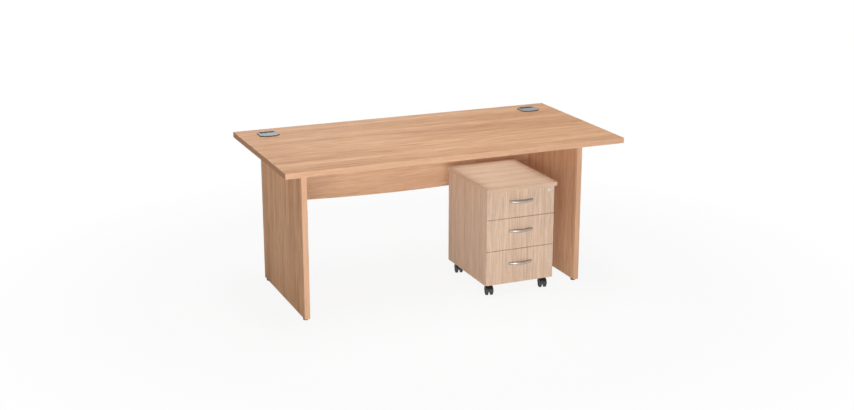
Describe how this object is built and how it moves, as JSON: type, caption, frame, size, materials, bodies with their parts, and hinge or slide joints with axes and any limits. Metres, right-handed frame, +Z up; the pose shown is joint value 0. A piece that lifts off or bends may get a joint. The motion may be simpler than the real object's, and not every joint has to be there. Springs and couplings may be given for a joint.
{
  "type": "pedestal desk",
  "caption": "Panel-end office desk with inset end panels, curved modesty panel and cable ports, and a drawer pedestal on castors that rolls under its worktop.",
  "frame": {"origin": "on the floor under the middle of the worktop", "axes": "+X to the sitter's right along the worktop, +Y away from the sitter, +Z up"},
  "size_m": [1.6, 0.8, 0.73],
  "materials": {
    "beech_board": "matt beech-effect melamine",
    "beech_edging": "beech-effect edge band",
    "pedestal_board": "matt pale beech-effect melamine",
    "pedestal_edging": "pale beech-effect edge band",
    "drawer_board": "pale grey melamine",
    "dowel_beech": "bare beech",
    "zinc_steel": "zinc plated",
    "beige_cap": "moulded cap",
    "port_silver": "silver-grey moulding",
    "port_flap": "silver-grey moulding",
    "runner_steel": "powder coated",
    "roller_nylon": "natural nylon",
    "satin_handle": "satin silver",
    "lock_nickel": "nickel plated",
    "castor_black": "black moulding",
    "wheel_black": "black nylon",
    "foot_black": "black moulding"
  },
  "bodies": {
    "desk": {"desktop": "beech_board", "desktop_edging": "beech_edging", "left_end_panel": "beech_board", "right_end_panel": "beech_board", "panel_edging": "beech_edging", "modesty_panel": "beech_board", "panel_dowels": "dowel_beech", "cam_bolts": "zinc_steel", "cam_housings": "zinc_steel", "cam_covers": "beige_cap", "foot_inserts": "zinc_steel", "left_cable_port": "port_silver", "right_cable_port": "port_silver"},
    "front_left_foot": {"front_left_foot": "foot_black"},
    "rear_left_foot": {"rear_left_foot": "foot_black"},
    "front_right_foot": {"front_right_foot": "foot_black"},
    "rear_right_foot": {"rear_right_foot": "foot_black"},
    "left_port_flap": {"left_port_flap": "port_flap"},
    "right_port_flap": {"right_port_flap": "port_flap"},
    "pedestal": {"pedestal_top": "pedestal_board", "pedestal_edging": "pedestal_edging", "pedestal_left_side": "pedestal_board", "pedestal_right_side": "pedestal_board", "pedestal_back": "pedestal_board", "pedestal_base": "pedestal_board", "pedestal_dowels": "dowel_beech", "cabinet_runners": "runner_steel", "castor_plates": "zinc_steel"},
    "upper_drawer": {"upper_drawer_front": "pedestal_board", "upper_drawer_walls": "drawer_board", "upper_drawer_base": "drawer_board", "upper_handle": "satin_handle", "upper_drawer_runners": "runner_steel", "lock_case": "lock_nickel"},
    "upper_front_rollers": {"upper_front_rollers": "roller_nylon"},
    "upper_rear_rollers": {"upper_rear_rollers": "roller_nylon"},
    "middle_drawer": {"middle_drawer_front": "pedestal_board", "middle_drawer_walls": "drawer_board", "middle_drawer_base": "drawer_board", "middle_handle": "satin_handle", "middle_drawer_runners": "runner_steel"},
    "middle_front_rollers": {"middle_front_rollers": "roller_nylon"},
    "middle_rear_rollers": {"middle_rear_rollers": "roller_nylon"},
    "lower_drawer": {"lower_drawer_front": "pedestal_board", "lower_drawer_walls": "drawer_board", "lower_drawer_base": "drawer_board", "lower_handle": "satin_handle", "lower_drawer_runners": "runner_steel"},
    "lower_front_rollers": {"lower_front_rollers": "roller_nylon"},
    "lower_rear_rollers": {"lower_rear_rollers": "roller_nylon"},
    "lock_barrel": {"lock_barrel": "lock_nickel"},
    "lock_bar": {"lock_bar": "zinc_steel"},
    "front_left_castor_hood": {"front_left_castor_hood": "castor_black"},
    "front_left_castor_wheels": {"front_left_castor_wheels": "wheel_black"},
    "front_right_castor_hood": {"front_right_castor_hood": "castor_black"},
    "front_right_castor_wheels": {"front_right_castor_wheels": "wheel_black"},
    "rear_left_castor_hood": {"rear_left_castor_hood": "castor_black"},
    "rear_left_castor_wheels": {"rear_left_castor_wheels": "wheel_black"},
    "rear_right_castor_hood": {"rear_right_castor_hood": "castor_black"},
    "rear_right_castor_wheels": {"rear_right_castor_wheels": "wheel_black"}
  },
  "joints": [
    {"name": "front_left_foot_screw", "type": "slide", "parent": "desk", "child": "front_left_foot", "axis": [0, 0, -1], "range_m": [0, 0.01]},
    {"name": "rear_left_foot_screw", "type": "slide", "parent": "desk", "child": "rear_left_foot", "axis": [0, 0, -1], "range_m": [0, 0.01]},
    {"name": "front_right_foot_screw", "type": "slide", "parent": "desk", "child": "front_right_foot", "axis": [0, 0, -1], "range_m": [0, 0.01]},
    {"name": "rear_right_foot_screw", "type": "slide", "parent": "desk", "child": "rear_right_foot", "axis": [0, 0, -1], "range_m": [0, 0.01]},
    {"name": "left_flap_hinge", "type": "hinge", "parent": "desk", "child": "left_port_flap", "pos_m": [-0.665, 0.25713, 0.7285], "axis": [1, 0, 0], "range_deg": [0, 95]},
    {"name": "right_flap_hinge", "type": "hinge", "parent": "desk", "child": "right_port_flap", "pos_m": [0.665, 0.25713, 0.7285], "axis": [1, 0, 0], "range_deg": [0, 95]},
    {"name": "pedestal_roll", "type": "slide", "parent": "desk", "child": "pedestal", "axis": [0, -1, 0], "range_m": [-0.09, 0.75]},
    {"name": "upper_drawer_slide", "type": "slide", "parent": "pedestal", "child": "upper_drawer", "axis": [0, -1, 0], "range_m": [0, 0.3]},
    {"name": "upper_front_roller_spin", "type": "hinge", "parent": "pedestal", "child": "upper_front_rollers", "pos_m": [0.348, -0.2435, 0.3995], "axis": [1, 0, 0], "range_deg": [0, 2150]},
    {"name": "upper_rear_roller_spin", "type": "hinge", "parent": "upper_drawer", "child": "upper_rear_rollers", "pos_m": [0.348, 0.116, 0.3975], "axis": [1, 0, 0], "range_deg": [0, 2150]},
    {"name": "middle_drawer_slide", "type": "slide", "parent": "pedestal", "child": "middle_drawer", "axis": [0, -1, 0], "range_m": [0, 0.3]},
    {"name": "middle_front_roller_spin", "type": "hinge", "parent": "pedestal", "child": "middle_front_rollers", "pos_m": [0.348, -0.2435, 0.2495], "axis": [1, 0, 0], "range_deg": [0, 2150]},
    {"name": "middle_rear_roller_spin", "type": "hinge", "parent": "middle_drawer", "child": "middle_rear_rollers", "pos_m": [0.348, 0.116, 0.2475], "axis": [1, 0, 0], "range_deg": [0, 2150]},
    {"name": "lower_drawer_slide", "type": "slide", "parent": "pedestal", "child": "lower_drawer", "axis": [0, -1, 0], "range_m": [0, 0.3]},
    {"name": "lower_front_roller_spin", "type": "hinge", "parent": "pedestal", "child": "lower_front_rollers", "pos_m": [0.348, -0.2435, 0.0865], "axis": [1, 0, 0], "range_deg": [0, 2150]},
    {"name": "lower_rear_roller_spin", "type": "hinge", "parent": "lower_drawer", "child": "lower_rear_rollers", "pos_m": [0.348, 0.116, 0.0845], "axis": [1, 0, 0], "range_deg": [0, 2150]},
    {"name": "lock_turn", "type": "hinge", "parent": "upper_drawer", "child": "lock_barrel", "pos_m": [0.4905, -0.276, 0.482], "axis": [0, -1, 0], "range_deg": [0, 90]},
    {"name": "lock_bar_lift", "type": "slide", "parent": "pedestal", "child": "lock_bar", "axis": [0, 0, 1], "range_m": [0, 0.006]},
    {"name": "front_left_castor_swivel", "type": "hinge", "parent": "pedestal", "child": "front_left_castor_hood", "pos_m": [0.21, -0.23, 0.0503], "axis": [0, 0, 1], "continuous": true},
    {"name": "front_left_wheel_spin", "type": "hinge", "parent": "front_left_castor_hood", "child": "front_left_castor_wheels", "pos_m": [0.2075, -0.24174, 0.02], "axis": [0.9781, -0.2079, 0], "continuous": true},
    {"name": "front_right_castor_swivel", "type": "hinge", "parent": "pedestal", "child": "front_right_castor_hood", "pos_m": [0.486, -0.23, 0.0503], "axis": [0, 0, 1], "continuous": true},
    {"name": "front_right_wheel_spin", "type": "hinge", "parent": "front_right_castor_hood", "child": "front_right_castor_wheels", "pos_m": [0.48351, -0.24174, 0.02], "axis": [0.9781, -0.2079, 0], "continuous": true},
    {"name": "rear_left_castor_swivel", "type": "hinge", "parent": "pedestal", "child": "rear_left_castor_hood", "pos_m": [0.21, 0.108, 0.0503], "axis": [0, 0, 1], "continuous": true},
    {"name": "rear_left_wheel_spin", "type": "hinge", "parent": "rear_left_castor_hood", "child": "rear_left_castor_wheels", "pos_m": [0.2075, 0.09626, 0.02], "axis": [0.9781, -0.2079, 0], "continuous": true},
    {"name": "rear_right_castor_swivel", "type": "hinge", "parent": "pedestal", "child": "rear_right_castor_hood", "pos_m": [0.486, 0.108, 0.0503], "axis": [0, 0, 1], "continuous": true},
    {"name": "rear_right_wheel_spin", "type": "hinge", "parent": "rear_right_castor_hood", "child": "rear_right_castor_wheels", "pos_m": [0.48351, 0.09626, 0.02], "axis": [0.9781, -0.2079, 0], "continuous": true}
  ],
  "couplings": [
    {"joint": "upper_front_roller_spin", "follows": "upper_drawer_slide", "rad_per_m": 125},
    {"joint": "upper_rear_roller_spin", "follows": "upper_drawer_slide", "rad_per_m": 125},
    {"joint": "middle_front_roller_spin", "follows": "middle_drawer_slide", "rad_per_m": 125},
    {"joint": "middle_rear_roller_spin", "follows": "middle_drawer_slide", "rad_per_m": 125},
    {"joint": "lower_front_roller_spin", "follows": "lower_drawer_slide", "rad_per_m": 125},
    {"joint": "lower_rear_roller_spin", "follows": "lower_drawer_slide", "rad_per_m": 125},
    {"joint": "lock_turn", "follows": "lock_bar_lift", "rad_per_m": 261.79}
  ]
}
